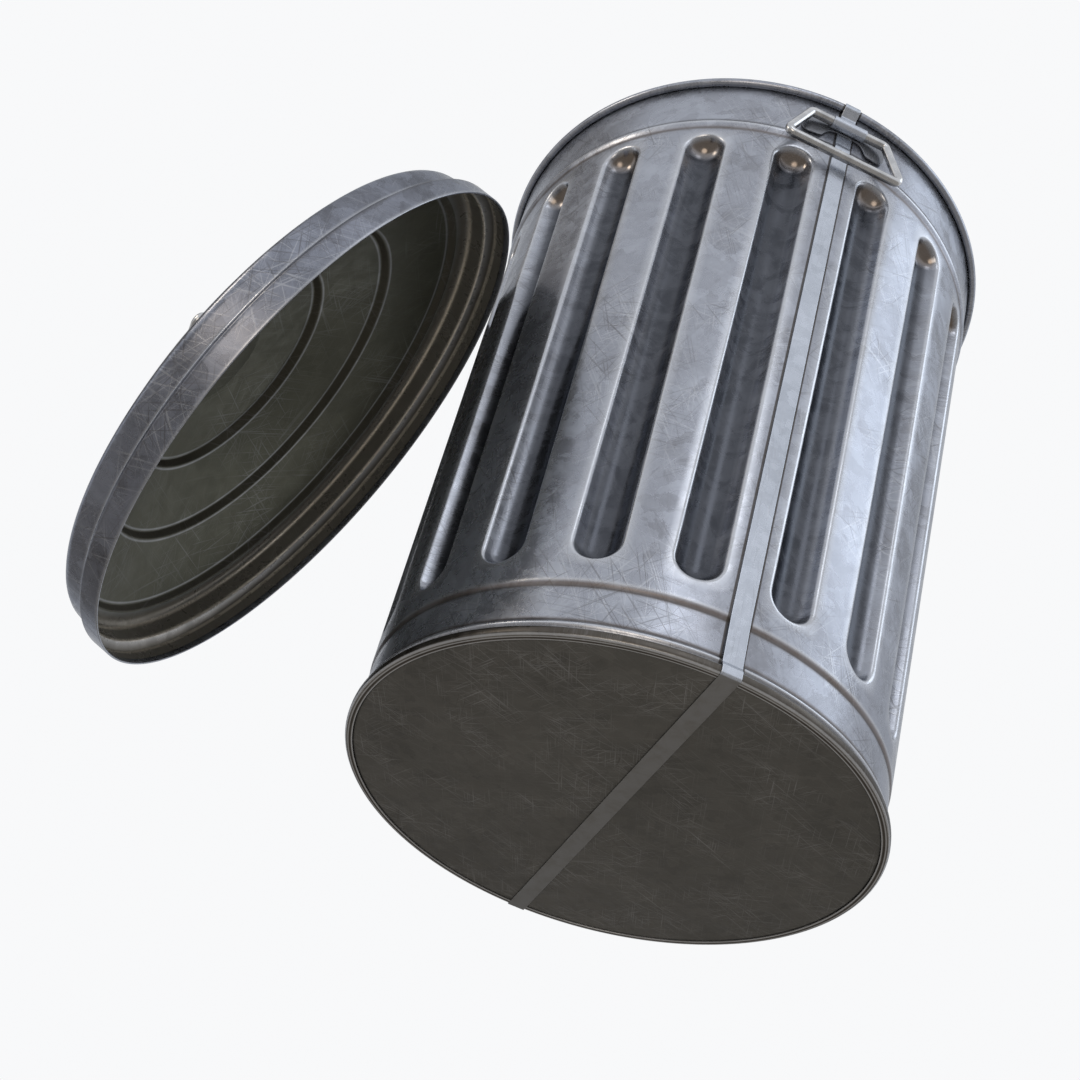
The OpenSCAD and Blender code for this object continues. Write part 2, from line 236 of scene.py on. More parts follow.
class HandleSizes(bpy.types.PropertyGroup):
    """Sizes of the ear plates and the bails, in the frame's metres"""

    pivot_x: length("Pivot radius", 0.257749, "Distance of a side pivot from the can's axis")
    pivot_z: length("Pivot height", 0.651, "Height of the side pivots")
    plate_radius: length("Plate radius", 0.251569, "Inner radius of the ear plates at the pivots' height")
    plate: length("Plate", 0.0015, "Thickness of an ear plate")
    plate_half: length("Plate half length", 0.045, "Half of an ear plate's length")
    wing_half: length("Wing half height", 0.019, "Half of the height of an ear plate's wings")
    wing_in: length("Wing start", 0.0245, "Where a wing reaches its full height")
    waist_half: length("Waist half height", 0.006, "Half of the height of an ear plate's waist")
    waist_end: length("Waist end", 0.0165, "Where the waist starts to widen")
    curl_width: length("Curl width", 0.035, "Width of the curl that holds the bail")
    curl_bore: length("Curl bore", 0.00458, "Inner radius of the curl")
    rod: length("Rod", 0.0045, "Radius of the bail's rod")
    bend: length("Bend", 0.0055, "Radius of the rod's middle line round a bend")
    pivot_half: length("Pivot half length", 0.040, "Half of the pivot bar's length between rod centres")
    grip_half: length("Grip half length", 0.061, "Half of the grip bar's length between rod centres")
    bail_height: length("Bail height", 0.049, "Distance from the pivot bar to the grip bar")


class LidSizes(bpy.types.PropertyGroup):
    """Sizes of the lid and its place beside the can, in the frame's metres"""

    crown_radius: length("Crown radius", 0.050, "Radius of the flat seat in the middle of the crown")
    crown_z: length("Crown height", 0.121, "Height of the crown's seat above the lip")
    ring_1_radius: length("Inner ring", 0.114, "Radius of the innermost ring step")
    ring_1_z: length("Inner ring height", 0.105, "Height of the innermost ring step's foot")
    ring_2_radius: length("Middle ring", 0.176, "Radius of the middle ring step")
    ring_2_z: length("Middle ring height", 0.076, "Height of the middle ring step's foot")
    ring_3_radius: length("Outer ring", 0.239, "Radius of the outermost ring step")
    shoulder_z: length("Shoulder height", 0.047, "Height of the shoulder above the lip")
    ring_rise: length("Ring rise", 0.006, "Rise of each ring step")
    ring_width: length("Ring width", 0.003, "Radial width of each ring step")
    ring_round: length("Ring rounding", 0.0022, "Rounding of each ring step's edges")
    shoulder_round: length("Shoulder rounding", 0.008, "Rounding of the shoulder")
    upper_skirt: length("Upper skirt", 0.2546, "Radius of the upper skirt's middle")
    lower_skirt: length("Lower skirt", 0.2621, "Radius of the lower skirt's middle")
    skirt_step_high: length("Skirt step high", 0.024, "Upper edge of the step between the skirts")
    skirt_step_low: length("Skirt step low", 0.019, "Lower edge of the step between the skirts")
    hem: length("Hem height", 0.006, "Height of the folded hem")
    hem_radius: length("Hem radius", 0.2612, "Radius of the middle of the hem's folded edge")
    hem_fold: length("Hem fold", 0.00044, "Rounding of the fold at the lip")
    centre: place("Lip centre", (-0.0085, -0.339012, 0.244099), "Middle of the lip's circle")
    lean: angle("Lean", 21.8, "Angle of the lid from upright")
    turn: angle("Turn", 2.1, "Turn of the lid about the vertical")
    handle_turn: angle("Handle turn", 12, "Turn of the lid's handle about the lid's axis")
    bail_z: length("Bail height", 0.12768, "Height of the lid bail's pivot above the lip")
    plate_z: length("Plate height", 0.1215, "Underside of the lid's ear plate, above the lip")


class Finishes(bpy.types.PropertyGroup):
    """Colours of the metal, as they would render in plain light, and colours painted on it as shade,
    highlights and reflections
    """

    wall_dark: tint("Wall, dark", (0.225, 0.235, 0.268), "Darkest crystals of the can's zinc")
    wall_mid: tint("Wall, middle", (0.300, 0.318, 0.368), "Middle tone of the can's zinc")
    wall_light: tint("Wall, light", (0.385, 0.412, 0.475), "Lightest crystals of the can's zinc")
    # Painted shade: the flutes' bottoms get this near-black tone where shade falls in them; it is not a
    # colour of the zinc
    flute: tint("Flutes", (0.046, 0.050, 0.061), "Dull zinc in the bottoms of the flutes")
    # Painted reflection: a brownish tone in the flutes' down-facing upper ends, standing in for the brown
    # they reflect
    flute_end_painted_reflection: tint("Flutes' upper ends", (0.17, 0.135, 0.105), "Brownish zinc in the flutes' upper ends")
    inside_dark: tint("Inside, dark", (0.10, 0.10, 0.10), "Darkest zinc inside the can")
    inside_light: tint("Inside, light", (0.24, 0.245, 0.25), "Lightest zinc inside the can")
    lid_dark: tint("Lid, dark", (0.108, 0.113, 0.133), "Darkest crystals of the lid's zinc")
    lid_light: tint("Lid, light", (0.255, 0.275, 0.335), "Lightest crystals of the lid's zinc")
    lining_dark: tint("Lid's inside, dark", (0.080, 0.081, 0.058), "Darkest tone inside the lid")
    lining_light: tint("Lid's inside, light", (0.118, 0.118, 0.088), "Lightest tone inside the lid")
    # Painted glint: thin warm lines along the bends inside the skirt, standing in for the glints of light
    # there
    painted_glint: tint("Lid's inside, bends", (0.86, 0.77, 0.63), "Rubbed bends inside the lid's skirt")
    # Partly the skirt's own brownish metal and partly a painted highlight: it is lighter than the lining to
    # stand in for the warm glints inside the skirt
    skirt_tone_and_painted_highlight: tint("Lid's inside, skirt", (0.26, 0.235, 0.205), "Brownish metal inside the lid's skirt")
    # Painted shade: a darker copy of the strap's metal for its stretch across the can's bottom, which faces
    # down
    under: tint("Strap, underside", (0.17, 0.165, 0.155), "Dull underside of the strap")
    pan_dark: tint("Pan, dark", (0.098, 0.097, 0.092), "Darkest tone of the bottom pan")
    pan_light: tint("Pan, light", (0.150, 0.148, 0.140), "Lightest tone of the bottom pan")
    hoop_dark: tint("Hoop, dark", (0.105, 0.100, 0.093), "Darkest tone of the foot hoop")
    hoop_light: tint("Hoop, light", (0.22, 0.215, 0.205), "Lightest tone of the foot hoop")
    strap_dark: tint("Strap and curls, dark", (0.40, 0.435, 0.50), "Darkest tone of the strap and curls")
    strap_light: tint("Strap and curls, light", (0.50, 0.54, 0.62), "Lightest tone of the strap and curls")
    plate_dark: tint("Ear plates, dark", (0.175, 0.185, 0.205), "Darkest tone of the ear plates' wings")
    plate_light: tint("Ear plates, light", (0.240, 0.250, 0.280), "Lightest tone of the ear plates' wings")
    rod_dark: tint("Rod, dark", (0.42, 0.43, 0.45), "Darkest tone of the bails' rods")
    rod_light: tint("Rod, light", (0.52, 0.53, 0.55), "Lightest tone of the bails' rods")
    # Used for real scratches and rubbed edges, and also as painted highlights along the wall's beads, the
    # step, the lid's ring steps and the hoop's edges
    scratch_and_painted_highlight: tint("Scratches", (0.60, 0.62, 0.66), "Bare metal in the scratches")
    # Partly a real brownish film and partly a painted reflection of the brown below, on the down-facing step
    # and rim bead
    stain_and_painted_reflection: tint("Stain", (0.125, 0.088, 0.062), "Brownish film along the can's beads and steps")
    # Used for the dark hairlines, which are real, and as painted shade in the creases, the ring steps, beside
    # the strap and along the hoop
    grime_and_painted_shade: tint("Grime", (0.045, 0.036, 0.028), "Dirt in the corners")
    floor: tint("Floor", (0.80, 0.80, 0.80), "The pale floor")


class StageSizes(bpy.types.PropertyGroup):
    """The camera, the floor and the light round the can"""

    eye: place("Camera", (0.964, -0.27372, -0.57989), "Where the camera stands")
    right: heading("Camera's right", (0.34535, 0.90735, 0.23967), "Right of the camera's picture")
    up: heading("Camera's top", (0.55208, -0.40294, 0.72997), "Top of the camera's picture")
    lens: bpy.props.FloatProperty(
        name="Lens", description="Focal length on a 36 mm sensor", default=46.63, unit="CAMERA"
    )
    floor_hole: length("Floor's hole", 0.2238, "Radius of the floor's hole below the can")
    floor_radius: length("Floor radius", 40.0, "Radius of the floor")


def parts():
    """The object's groups of sizes and colours."""
    return bpy.context.scene.trash_can


class TrashCan(bpy.types.PropertyGroup):
    """Everything about the trash can that a user would change"""

    can: bpy.props.PointerProperty(type=CanSizes, name="Can", description="Sizes of the can")
    handles: bpy.props.PointerProperty(type=HandleSizes, name="Handles", description="Sizes of the handles")
    lid: bpy.props.PointerProperty(type=LidSizes, name="Lid", description="Sizes and place of the lid")
    finishes: bpy.props.PointerProperty(type=Finishes, name="Finishes", description="Colours of the metal")
    stage: bpy.props.PointerProperty(type=StageSizes, name="Stage", description="Camera, floor and light")


# Small arithmetic

def mix(a, b, share):
    return a + (b - a) * share


def kept(share):
    """A share, kept from 0 to 1."""
    return min(max(share, 0), 1)


def rise(value, low, high):
    """0 up to low, 1 from high, and a smooth step between them."""
    share = kept((value - low) / (high - low))
    return share * share * (3 - 2 * share)


def near(value, centre, width):
    """1 at centre, falling smoothly to 0 a width away."""
    return 1 - rise(abs(value - centre), 0, width)


def strongest(value, lines):
    """The strongest of the (centre, width, strength) lines at a value."""
    return max(strength * near(value, centre, width) for centre, width, strength in lines)


def steps(low, high, count):
    """Heights from low to high, without low."""
    return [mix(low, high, i / count) for i in range(1, count + 1)]


def between(dark, light):
    """The colour in the middle of two."""
    return tuple((a + b) / 2 for a, b in zip(dark, light))


def turn_from(way, ahead):
    """The signed angle from one way in the XY plane to another."""
    return math.atan2(way.x * ahead.y - way.y * ahead.x, way.dot(ahead))


def on_circle(centre, radius, turn):
    return centre + radius * Vector((math.cos(turn), math.sin(turn)))


def rounded(corners, corner_step=CORNER_STEP):
    """Points of an outline of (across, up, rounding) corners, with an arc at each rounded one."""
    points = [Vector(corners[0][:2])]
    for before, corner, after in zip(corners, corners[1:], corners[2:]):
        here = Vector(corner[:2])
        way_in = (here - Vector(before[:2])).normalized()
        turn = turn_from(way_in, (Vector(after[:2]) - here).normalized())
        radius = corner[2]
        if radius == 0 or abs(turn) < MERGE:
            points.append(here)
            continue
        start = here - way_in * radius * math.tan(abs(turn) / 2)
        centre = start + Vector((-way_in.y, way_in.x)) * math.copysign(radius, turn)
        count = max(2, math.ceil(abs(turn) / corner_step))
        for i in range(count + 1):
            points.append(centre + Matrix.Rotation(turn * i / count, 2) @ (start - centre))
    points.append(Vector(corners[-1][:2]))
    return points


# Mesh making

def chain(bm, points):
    """A row of edges through 3-D points: its corners, and its edges."""
    verts = [bm.verts.new(p) for p in points]
    return verts, [bm.edges.new(pair) for pair in zip(verts, verts[1:])]


def extruded(bm, edges):
    """Extrudes the edges in place, and gives the new corners and the new edges between them."""
    grown = bmesh.ops.extrude_edge_only(bm, edges=edges)["geom"]
    verts = [g for g in grown if isinstance(g, bmesh.types.BMVert)]
    edges = [g for g in grown if isinstance(g, bmesh.types.BMEdge)]
    return verts, [e for e in edges if all(v in verts for v in e.verts)]


def strip(points, way):
    """A bmesh of a strip: a row of edges through 3-D points, drawn out along a way."""
    bm = bmesh.new()
    verts, _ = extruded(bm, chain(bm, points)[1])
    bmesh.ops.translate(bm, verts=verts, vec=way)
    return bm


def spun(points, columns, closed=False):
    """A bmesh of (radius, height) points spun once round the vertical axis, from the -X side."""
    bm = bmesh.new()
    verts, edges = chain(bm, [(-p[0], 0, p[1]) for p in points])
    if closed:
        edges.append(bm.edges.new((verts[-1], verts[0])))
    bmesh.ops.spin(
        bm, geom=verts + edges, cent=(0, 0, 0), axis=(0, 0, 1), dvec=(0, 0, 0),
        angle=FULL_TURN, steps=columns, use_merge=True,
    )
    bmesh.ops.remove_doubles(bm, verts=bm.verts, dist=MERGE)
    return bm


def tube(corners, radius, bend):
    """A bmesh of a closed rod through corners in the XY plane, with a round bend at each."""
    bm = bmesh.new()
    count = len(corners)
    along = (corners[1] - corners[0]).normalized()
    start = (corners[0] + corners[1]) / 2
    bmesh.ops.create_circle(
        bm, cap_ends=False, radius=radius, segments=ROD_SIDES,
        matrix=Matrix.Translation(start) @ along.to_track_quat("Z", "Y").to_matrix().to_4x4(),
    )
    edges = bm.edges[:]
    here = start
    for i in range(1, count + 1):
        corner = corners[i % count]
        ahead = (corners[(i + 1) % count] - corner).normalized()
        turn = turn_from(along, ahead)
        bend_start = corner - along * bend * math.tan(abs(turn) / 2)
        verts, edges = extruded(bm, edges)
        bmesh.ops.translate(bm, verts=verts, vec=bend_start - here)
        centre = bend_start + Vector((-along.y, along.x, 0)) * math.copysign(bend, turn)
        last = bmesh.ops.spin(
            bm, geom=verts + edges, cent=centre, axis=(0, 0, math.copysign(1, turn)), dvec=(0, 0, 0),
            angle=abs(turn), steps=BEND_ROWS, use_merge=False,
        )["geom_last"]
        edges = [g for g in last if isinstance(g, bmesh.types.BMEdge)]
        here = corner + ahead * bend * math.tan(abs(turn) / 2)
        along = ahead
    verts, edges = extruded(bm, edges)
    bmesh.ops.translate(bm, verts=verts, vec=start - here)
    bmesh.ops.remove_doubles(bm, verts=bm.verts, dist=10 * MERGE)
    bmesh.ops.recalc_face_normals(bm, faces=bm.faces)
    return bm


def moved(bm, matrix):
    """The same bmesh, moved as a whole."""
    bmesh.ops.transform(bm, matrix=matrix, verts=bm.verts)
    return bm


def face_out(bm, place, way):
    """Turns a sheet's faces so that the one nearest to a place looks the given way."""
    bmesh.ops.recalc_face_normals(bm, faces=bm.faces)
    nearest = min(bm.faces, key=lambda face: (face.calc_center_median() - Vector(place)).length)
    if nearest.normal.dot(Vector(way)) < 0:
        bmesh.ops.reverse_faces(bm, faces=bm.faces)


def solid_sheet(bm, thickness):
    """Gives a sheet its thickness on the side that its faces point to."""
    bmesh.ops.solidify(bm, geom=bm.faces[:], thickness=-thickness)
    bmesh.ops.recalc_face_normals(bm, faces=bm.faces)


def joined(bm, other):
    """Adds the other bmesh to the first."""
    mesh = bpy.data.meshes.new("Joined")
    other.to_mesh(mesh)
    other.free()
    bm.from_mesh(mesh)
    bpy.data.meshes.remove(mesh)


def attributes(bm, *names):
    """New numbers for each corner of the mesh, which its materials read by these names."""
    return [bm.verts.layers.float.new(name) for name in names]


def unroll(bm, radius, flat_within=0):
    """The map named sheet, in metres: distance round the vertical axis, and height. Its seam is at -X.

    Faces nearer to the axis than flat_within are mapped as seen from above.
    """
    layer = bm.loops.layers.uv.new("sheet")
    for face in bm.faces:
        centre = face.calc_center_median()
        about = math.atan2(centre.y, centre.x)
        upright = math.hypot(centre.x, centre.y) > flat_within
        for loop in face.loops:
            co = loop.vert.co
            turned = math.atan2(co.y, co.x)
            turned += FULL_TURN * round((about - turned) / FULL_TURN)
            loop[layer].uv = (turned * radius, co.z) if upright else (co.x, co.y)


def made(bm, name):
    """The object that a bmesh becomes."""
    mesh = bpy.data.meshes.new(name)
    bm.to_mesh(mesh)
    bm.free()
    piece = bpy.data.objects.new(name, mesh)
    bpy.context.scene.collection.objects.link(piece)
    return piece


def finished(bm, name, node, materials):
    """The piece's object: it stands for the node, rides on the node's body and takes the given materials."""
    piece = made(bm, name)
    for polygon in piece.data.polygons:
        polygon.use_smooth = True
    for material in materials:
        piece.data.materials.append(material)
    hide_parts(node)
    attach(piece, frame["nodes"][node]["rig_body"])
    return piece


def thicken(piece, thickness, offset, inner_material=0):
    """Gives a sheet its thickness; offset -1 lays it all inside, 0 half on each side."""
    solidify = piece.modifiers.new("Sheet", "SOLIDIFY")
    solidify.thickness = thickness
    solidify.offset = offset
    solidify.use_even_offset = True
    solidify.material_offset = inner_material
    solidify.material_offset_rim = 0


def soften(piece, width):
    """Rounds the sharp edges of a plate."""
    bevel = piece.modifiers.new("Edges", "BEVEL")
    bevel.width = width
    bevel.segments = 2
    bevel.limit_method = "ANGLE"
    bevel.angle_limit = SHARP
    bevel.harden_normals = True


# Materials

class Nodes:
    """The node tree of a material or of the world, with short ways to add to it."""

    def __init__(self, owner):
        owner.use_nodes = True
        self.tree = owner.node_tree
        self.tree.nodes.clear()

    def add(self, kind, inputs=None, **settings):
        """A new node with its settings; an input is a value or another node's socket."""
        node = self.tree.nodes.new(kind)
        for key, value in settings.items():
            setattr(node, key, value)
        for key, value in (inputs or {}).items():
            if isinstance(value, bpy.types.NodeSocket):
                self.tree.links.new(value, node.inputs[key])
            else:
                node.inputs[key].default_value = value
        return node

    def math(self, operation, a, b, clamp=False):
        return self.add("ShaderNodeMath", {0: a, 1: b}, operation=operation, use_clamp=clamp).outputs[0]

    def vector(self, operation, inputs, output="Vector"):
        return self.add("ShaderNodeVectorMath", inputs, operation=operation).outputs[output]

    def span(self, value, low, high, to_low=0.0, to_high=1.0):
        """value from low to high, moved to a new range and kept in it."""
        return self.add(
            "ShaderNodeMapRange",
            {"Value": value, "From Min": low, "From Max": high, "To Min": to_low, "To Max": to_high},
            interpolation_type="SMOOTHSTEP",
        ).outputs["Result"]

    def blend(self, share, a, b):
        """From colour a to colour b."""
        node = self.add("ShaderNodeMix", {"Factor": share}, data_type="RGBA")
        for socket, value in ((node.inputs[6], a), (node.inputs[7], b)):
            if isinstance(value, bpy.types.NodeSocket):
                self.tree.links.new(value, socket)
            else:
                socket.default_value = (*value, 1)
        return node.outputs[2]

    def weights(self, *pairs):
        """The sum of the values, each times its weight."""
        total = None
        for value, weight in pairs:
            part = self.math("MULTIPLY", value, weight)
            total = part if total is None else self.math("ADD", total, part)
        return total


class Shader(Nodes):
    """A material's node tree. Its patterns lie by the map named sheet, or by the object's own place."""

    def __init__(self, name, mapped=False):
        self.material = bpy.data.materials.new(name)
        super().__init__(self.material)
        if mapped:
            self.place = self.add("ShaderNodeUVMap", uv_map="sheet").outputs["UV"]
        else:
            self.place = self.add("ShaderNodeTexCoord").outputs["Object"]

    def attribute(self, name):
        return self.add("ShaderNodeAttribute", attribute_name=name).outputs["Fac"]

    def stretched(self, scale, turn, shift=(0, 0, 0)):
        """The place in a turned frame, counted in steps of scale metres."""
        return self.add(
            "ShaderNodeMapping",
            {"Vector": self.place, "Scale": scale, "Rotation": turn, "Location": shift},
            vector_type="TEXTURE",
        ).outputs["Vector"]

    def noise(self, scale, detail=3, roughness=0.5, distortion=0, place=None, output="Fac"):
        """Soft noise, scale times a metre, or scale times a step of a stretched place."""
        return self.add(
            "ShaderNodeTexNoise",
            {
                "Vector": self.place if place is None else place,
                "Scale": scale, "Detail": detail, "Roughness": roughness, "Distortion": distortion,
            },
        ).outputs[output]

    def hairlines(self, turned, low, shifted, grain):
        """All the HAIRLINES, turned and shifted: 1 on a line and 0 between them."""
        lines = None
        for turn, width, run, shift in HAIRLINES:
            shift += shifted
            place = self.stretched(
                (width / grain, run / grain, run / grain), (0, 0, turn + turned), (shift, 2 * shift, shift)
            )
            line = self.span(self.noise(1, 1, 0.4, 0.10, place), low, 0.73)
            lines = line if lines is None else self.math("MAXIMUM", lines, line)
        return lines

    def surface(self, colour, roughness, heights, metallic, specular=0.5, edge=(1, 1, 1)):
        """Joins the nodes to the metal's shader. heights holds (height, distance) pairs."""
        normal = None
        for height, distance in heights:
            inputs = {"Height": height, "Distance": distance, "Strength": 1.0}
            if normal is not None:
                inputs["Normal"] = normal
            normal = self.add("ShaderNodeBump", inputs).outputs["Normal"]
        shader = self.add(
            "ShaderNodeBsdfPrincipled",
            {
                "Base Color": colour, "Roughness": roughness, "Normal": normal,
                "Metallic": metallic, "Specular IOR Level": specular, "Specular Tint": (*edge, 1),
            },
        )
        self.add("ShaderNodeOutputMaterial", {"Surface": shader.outputs["BSDF"]})
        return self.material


def crystals_of(s, grain):
    """A brightness for each zinc crystal; the crystals' edges are feathered by a fine drift."""
    drift = s.noise(DRIFTS * grain, 4, 0.65, output="Color")
    drift = s.vector("SCALE", {0: drift, "Scale": 0.022 / grain})
    place = s.vector("ADD", {0: s.place, 1: drift})
    cells = s.add("ShaderNodeTexVoronoi", {"Vector": place, "Scale": CRYSTALS * grain}).outputs["Color"]
    return s.add("ShaderNodeSeparateColor", {"Color": cells}).outputs["Red"]


def zinc(name, dark, light, middle=None, mapped=False, metallic=0.8, specular=0.5, rough=(0.20, 0.32),
         scratched=1.0, grain=1.0, relief=1.0, laid=(), rings=(), across=False):
    """Galvanised sheet: soft clouds, feathery zinc crystals, fine criss-cross hairlines.

    rough is the lowest and highest roughness. scratched is how strongly the hairlines show, grain
    makes the whole pattern that many times finer, and relief scales the bumps. laid holds (attribute,
    colour, share, roughness added), laid over the zinc in that order, and rings holds (place, half
    width, colour, share) of thin lines: rings at that radius round the can's axis, or, with across,
    straight lines at that distance on both sides of the middle of its X sides.
    """
    colours = parts().finishes
    s = Shader(name, mapped)
    cloud = s.noise(CLOUDS * grain, 2, 0.5, 0.4)
    mottle = s.noise(BLOTCHES * grain, 5, 0.6, 0.7)
    crystal = crystals_of(s, grain)
    tone = s.weights((cloud, 0.40), (mottle, 0.30), (crystal, 0.13), (s.noise(PATCHES * grain), 0.17))
    middle = between(dark, light) if middle is None else middle
    colour = s.blend(s.span(tone, 0.34, 0.50), dark, middle)
    colour = s.blend(s.span(tone, 0.48, 0.66), colour, light)
    fine = s.span(s.noise(FINE_PATCHES * grain, 2), 0.40, 0.62, 0.15, 1.0)
    fine = s.math("MULTIPLY", fine, scratched)
    bright = s.math("MULTIPLY", s.hairlines(0, 0.645, 0, grain), fine)
    dull = s.math("MULTIPLY", s.hairlines(0.2, 0.65, 11, grain), fine)
    colour = s.blend(s.math("MULTIPLY", bright, 0.30), colour, colours.scratch_and_painted_highlight)
    colour = s.blend(s.math("MULTIPLY", dull, 0.40), colour, colours.grime_and_painted_shade)
    roughness = s.weights((s.span(mottle, 0.35, 0.65, *rough), 1.0), (crystal, 0.04))
    for attribute, over, share, dulled in laid:
        patchy = s.span(mottle, 0.28, 0.62, share, share * 0.88)
        cover = s.math("MULTIPLY", s.attribute(attribute), patchy)
        colour = s.blend(cover, colour, over)
        if dulled:
            roughness = s.math("ADD", roughness, s.math("MULTIPLY", cover, dulled), clamp=True)
    if rings:
        where = s.add("ShaderNodeTexCoord").outputs["Object"]
        wanted = (0, 1, 0) if across else (1, 1, 0)
        radius = s.vector("LENGTH", {0: s.vector("MULTIPLY", {0: where, 1: wanted})}, "Value")
        for ring, half, over, share in rings:
            away = s.math("ABSOLUTE", s.math("SUBTRACT", radius, ring), 0.0)
            colour = s.blend(s.span(away, 0.4 * half, half, share, 0.0), colour, over)
    heights = (
        (cloud, CLOUD_BUMP * relief), (mottle, BLOTCH_BUMP * relief),
        (s.math("SUBTRACT", bright, dull), LINE_BUMP),
    )
    return s.surface(colour, roughness, heights, metallic, specular, ZINC_EDGE)


def drawn_rod(name):
    """Bright drawn rod with faint scuffs."""
    colours = parts().finishes
    s = Shader(name)
    mottle = s.noise(60, 3, 0.5, 0.3)
    place = s.stretched((0.0012, 0.016, 0.0012), (0.3, 0.2, 0.5))
    scuff = s.span(s.noise(1, 2, 0.5, 0.2, place), 0.62, 0.74)
    colour = s.blend(s.span(mottle, 0.35, 0.65), colours.rod_dark, colours.rod_light)
    colour = s.blend(s.math("MULTIPLY", scuff, 0.35), colour, colours.rod_dark)
    roughness = s.weights((s.span(mottle, 0.3, 0.7, 0.18, 0.28), 1.0), (scuff, 0.12))
    return s.surface(colour, roughness, ((mottle, 0.00002), (scuff, -0.00001)), 0.95)


# The can

def wall_radius(can, z):
    """Outer radius of the fluted wall's cone."""
    low = can.foot_radius + can.step
    high = can.rim_radius - 2 * can.roll_radius + can.sheet - can.band
    return mix(low, high, (z - can.step_high) / (can.roll_z - can.step_high))


def sheet_radius(can, z):
    """Outer radius of the wall at any height below the roll, with no flutes in it."""
    if z < can.step_low:
        share = kept((z - can.foot_bead_low) / (can.foot_bead_high - can.foot_bead_low))
        return can.foot_radius + can.foot_bead * (1 - math.cos(FULL_TURN * share)) / 2
    if z < can.step_high:
        return can.foot_radius + can.step * rise(z, can.step_low, can.step_high)
    if z < can.bead_crest_z:
        return wall_radius(can, z) + can.bead * rise(z, can.bead_low, can.bead_crest_z)
    return wall_radius(can, z) + mix(can.bead, can.band, rise(z, can.bead_crest_z, can.bead_high))


def roll_middle(can):
    """Middle of the rolled rim's section, as radius and height."""
    return Vector((can.rim_radius - can.roll_radius, can.roll_z))


def flute_levels(can):
    """Distances from a flute's middle line: across its bowl, then across its fillet."""
    reach = can.flute_radius + can.flute_fillet
    end = math.acos((can.flute_fillet + can.flute_out) / reach)
    foot = reach * math.sin(end)
    bowl = [can.flute_radius * math.sin(end * i / BOWL_STEPS) for i in range(BOWL_STEPS + 1)]
    fillet_turns = [end * (1 - i / FILLET_STEPS) for i in range(1, FILLET_STEPS + 1)]
    return bowl + [foot - can.flute_fillet * math.sin(turn) for turn in fillet_turns]


def flute_depth(can, reach, levels):
    """Depth of a flute below the wall, at a distance from its middle line or its end's middle."""
    if reach <= levels[BOWL_STEPS]:
        return math.sqrt(can.flute_radius ** 2 - reach ** 2) - can.flute_out
    if reach < levels[-1]:
        return can.flute_fillet - math.sqrt(can.flute_fillet ** 2 - (levels[-1] - reach) ** 2)
    return 0


def wall_rows(can, levels):
    """(radius, height) of every row of the wall's outer face, from its foot to the roll's end."""
    heights = [can.wall_z, FOOT_EDGE_ROW]
    heights += [can.foot_bead_low] + steps(can.foot_bead_low, can.foot_bead_high, FOOT_BEAD_ROWS)
    heights += [can.foot_bead_high + reach for reach in BESIDE] + [FOOT_BAND_ROW]
    heights += [can.step_low - reach for reach in reversed(BESIDE)] + [can.step_low]
    heights += steps(can.step_low, can.step_high, FOOT_STEP_ROWS)
    heights += [can.step_high + reach for reach in BESIDE[:2]]
    heights += steps(can.step_high + BESIDE[1], can.flute_low - levels[-1], BELOW_FLUTES_ROWS)
    heights += [can.flute_low - reach for reach in reversed(levels[:-1])]
    heights += steps(can.flute_low, can.flute_high, FLUTE_ROWS)
    heights += [can.flute_high + reach for reach in levels[1:]]
    heights += [can.bead_low - BESIDE[1], can.bead_low]
    heights += steps(can.bead_low, can.bead_crest_z, BEAD_RISE_ROWS)
    heights += steps(can.bead_crest_z, can.bead_high, BEAD_FALL_ROWS)
    heights += [can.bead_high + reach for reach in BESIDE] + list(RIM_BAND_ROWS)
    rows = [Vector((sheet_radius(can, z), z)) for z in heights]
    inner = can.roll_radius - can.sheet
    for i in range(ROLL_ROWS + 1):
        rows.append(on_circle(roll_middle(can), inner, math.pi - ROLL_TURN * i / ROLL_ROWS))
    return rows


def flute_in(can, levels, co):
    """Where a corner of the plain spun wall goes so that the flutes are in it.

    It comes with the flute's depth there, and the distance from the flute's middle line or end.
    """
    pitch = FULL_TURN / can.flutes
    column = round((math.atan2(co.y, co.x) + math.pi) / pitch * FLUTE_STEPS) % (can.flutes * FLUTE_STEPS)
    cell, step = divmod(column, FLUTE_STEPS)
    level = abs(step - FLUTE_STEPS // 2)
    side = 1 if step > FLUTE_STEPS // 2 else -1
    middle = (cell + 0.5) * pitch - math.pi
    z = co.z
    last = len(levels) - 1
    if level <= last:
        across = levels[level]
    else:
        across = mix(levels[-1], wall_radius(can, z) * pitch / 2, (level - last) / LAND_STEPS)
    if z <= can.step_high or z >= can.bead_low:
        turned = middle + side * across / wall_radius(can, z)
        radius = math.hypot(co.x, co.y)
        return Vector((radius * math.cos(turned), radius * math.sin(turned), z)), 0, across
    end = can.flute_low if z < can.flute_low else can.flute_high
    beyond = max(can.flute_low - z, z - can.flute_high, 0)
    reach = max(across, beyond)
    if beyond > 0:
        # rows and columns turn into circles round the flute's end, and back again outside it
        turned = math.pi / 4 * min(across, beyond) / reach
        if beyond > across:
            turned = math.pi / 2 - turned
        share = rise(reach, levels[-1], levels[-1] + can.flute_blend)
        across = mix(reach * math.cos(turned), across, share)
        beyond = mix(reach * math.sin(turned), beyond, share)
        z = end + math.copysign(beyond, z - end)
    depth = flute_depth(can, reach, levels)
    radius = wall_radius(can, z) - depth
    turned = middle + side * across / radius
    return Vector((radius * math.cos(turned), radius * math.sin(turned), z)), depth, reach


